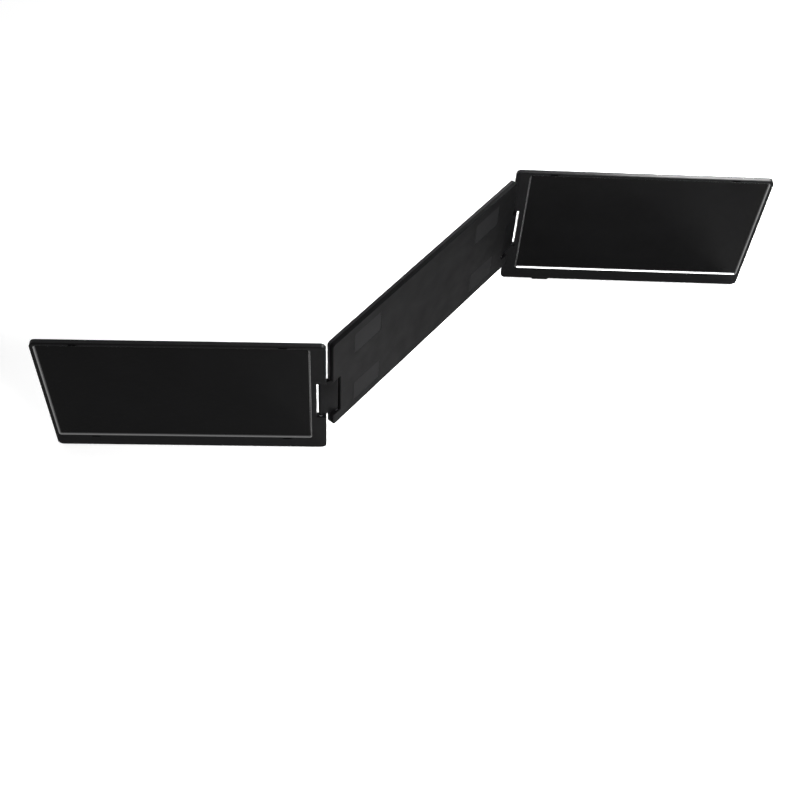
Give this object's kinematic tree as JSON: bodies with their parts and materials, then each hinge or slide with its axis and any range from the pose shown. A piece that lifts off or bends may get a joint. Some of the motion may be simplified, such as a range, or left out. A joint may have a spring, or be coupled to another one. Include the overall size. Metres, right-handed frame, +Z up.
{
  "type": "laptop screen extender",
  "caption": "Twin folding portable screens on a slim bracket that hangs behind a laptop lid, with double-pivot link plates, a kickstand and side sockets.",
  "frame": {"origin": "centre of the bracket face that lies against the laptop lid", "axes": "+X to the right seen by the user, +Y away from the user, +Z up"},
  "size_m": [0.773, 0.4879, 0.1956],
  "materials": {
    "bracket_shell": "fine moulded grain, satin black",
    "kickstand_plate": "black satin paint on aluminium sheet",
    "rubber": "matt black rubber",
    "pad": "dark grey silicone adhesive pad",
    "steel": "plain steel",
    "pin_steel": "ground bright steel",
    "screw": "black oxide",
    "link": "black anodised extrusion",
    "bezel": "black satin moulding with bright bevelled window edge",
    "back_cover": "black fine grain",
    "display": "switched-off display under glossy glass",
    "backlight": "white light guide",
    "board": "green solder resist",
    "ribbon": "amber polyimide film",
    "socket": "stamped steel shell",
    "key": "black satin key"
  },
  "bodies": {
    "bracket": {"bracket_front_shell": "bracket_shell", "bracket_back_shell": "bracket_shell", "bracket_stiffener": "steel", "bracket_screws": "screw", "lid_pads": "pad", "lid_magnets": "pin_steel", "bracket_left_hinge_blocks": "steel", "bracket_right_hinge_blocks": "steel", "hinge_block_screws": "screw", "bracket_left_pin": "pin_steel", "bracket_right_pin": "pin_steel", "bracket_washers": "steel", "kickstand_pin": "pin_steel"},
    "kickstand": {"kickstand": "kickstand_plate", "kickstand_pad": "rubber"},
    "left_link": {"left_link_plate": "link"},
    "right_link": {"right_link_plate": "link"},
    "left_screen": {"left_bezel": "bezel", "left_back_cover": "back_cover", "left_display": "display", "left_backlight": "backlight", "left_driver_board": "board", "left_display_ribbon": "ribbon", "left_hinge_blocks": "steel", "left_screen_pin": "pin_steel", "left_washers": "steel", "left_cover_screws": "screw", "left_bumpers": "rubber", "left_usb_sockets": "socket", "left_video_socket": "socket"},
    "left_power_key": {"left_power_key": "key"},
    "left_plus_key": {"left_plus_key": "key"},
    "left_minus_key": {"left_minus_key": "key"},
    "right_screen": {"right_bezel": "bezel", "right_back_cover": "back_cover", "right_display": "display", "right_backlight": "backlight", "right_driver_board": "board", "right_display_ribbon": "ribbon", "right_hinge_blocks": "steel", "right_screen_pin": "pin_steel", "right_washers": "steel", "right_cover_screws": "screw", "right_bumpers": "rubber", "right_usb_sockets": "socket", "right_video_socket": "socket", "right_foot": "rubber"},
    "right_power_key": {"right_power_key": "key"},
    "right_plus_key": {"right_plus_key": "key"},
    "right_minus_key": {"right_minus_key": "key"}
  },
  "joints": [
    {"name": "left_link_fold", "type": "hinge", "parent": "bracket", "child": "left_link", "pos_m": [-0.1611, 0.0045, -0.0235], "axis": [0, 0, 1], "range_deg": [-5.3, 112.2]},
    {"name": "left_screen_fold", "type": "hinge", "parent": "left_link", "child": "left_screen", "pos_m": [-0.17878, 0.01172, -0.0235], "axis": [0, 0, 1], "range_deg": [-0.1, 117.4]},
    {"name": "right_link_fold", "type": "hinge", "parent": "bracket", "child": "right_link", "pos_m": [0.1611, 0.0045, -0.0235], "axis": [0, 0, -1], "range_deg": [-19.7, 97.8]},
    {"name": "right_screen_fold", "type": "hinge", "parent": "right_link", "child": "right_screen", "pos_m": [0.18894, 0.00831, -0.0235], "axis": [0, 0, -1], "range_deg": [-86.1, 31.4]},
    {"name": "kickstand_hinge", "type": "hinge", "parent": "bracket", "child": "kickstand", "pos_m": [0, 0.0076, -0.0625], "axis": [-1, 0, 0], "range_deg": [0, 140]},
    {"name": "left_power_press", "type": "slide", "parent": "left_screen", "child": "left_power_key", "axis": [-0.7615, -0.6481, 0], "range_m": [0, 0.0004], "stiffness_N_per_m": 1200, "springref_m": -0.0004},
    {"name": "left_plus_press", "type": "slide", "parent": "left_screen", "child": "left_plus_key", "axis": [-0.7615, -0.6481, 0], "range_m": [0, 0.0004], "stiffness_N_per_m": 1200, "springref_m": -0.0004},
    {"name": "left_minus_press", "type": "slide", "parent": "left_screen", "child": "left_minus_key", "axis": [-0.7615, -0.6481, 0], "range_m": [0, 0.0004], "stiffness_N_per_m": 1200, "springref_m": -0.0004},
    {"name": "right_power_press", "type": "slide", "parent": "right_screen", "child": "right_power_key", "axis": [-0.7749, -0.632, 0], "range_m": [0, 0.0004], "stiffness_N_per_m": 1200, "springref_m": -0.0004},
    {"name": "right_plus_press", "type": "slide", "parent": "right_screen", "child": "right_plus_key", "axis": [-0.7749, -0.632, 0], "range_m": [0, 0.0004], "stiffness_N_per_m": 1200, "springref_m": -0.0004},
    {"name": "right_minus_press", "type": "slide", "parent": "right_screen", "child": "right_minus_key", "axis": [-0.7749, -0.632, 0], "range_m": [0, 0.0004], "stiffness_N_per_m": 1200, "springref_m": -0.0004}
  ]
}
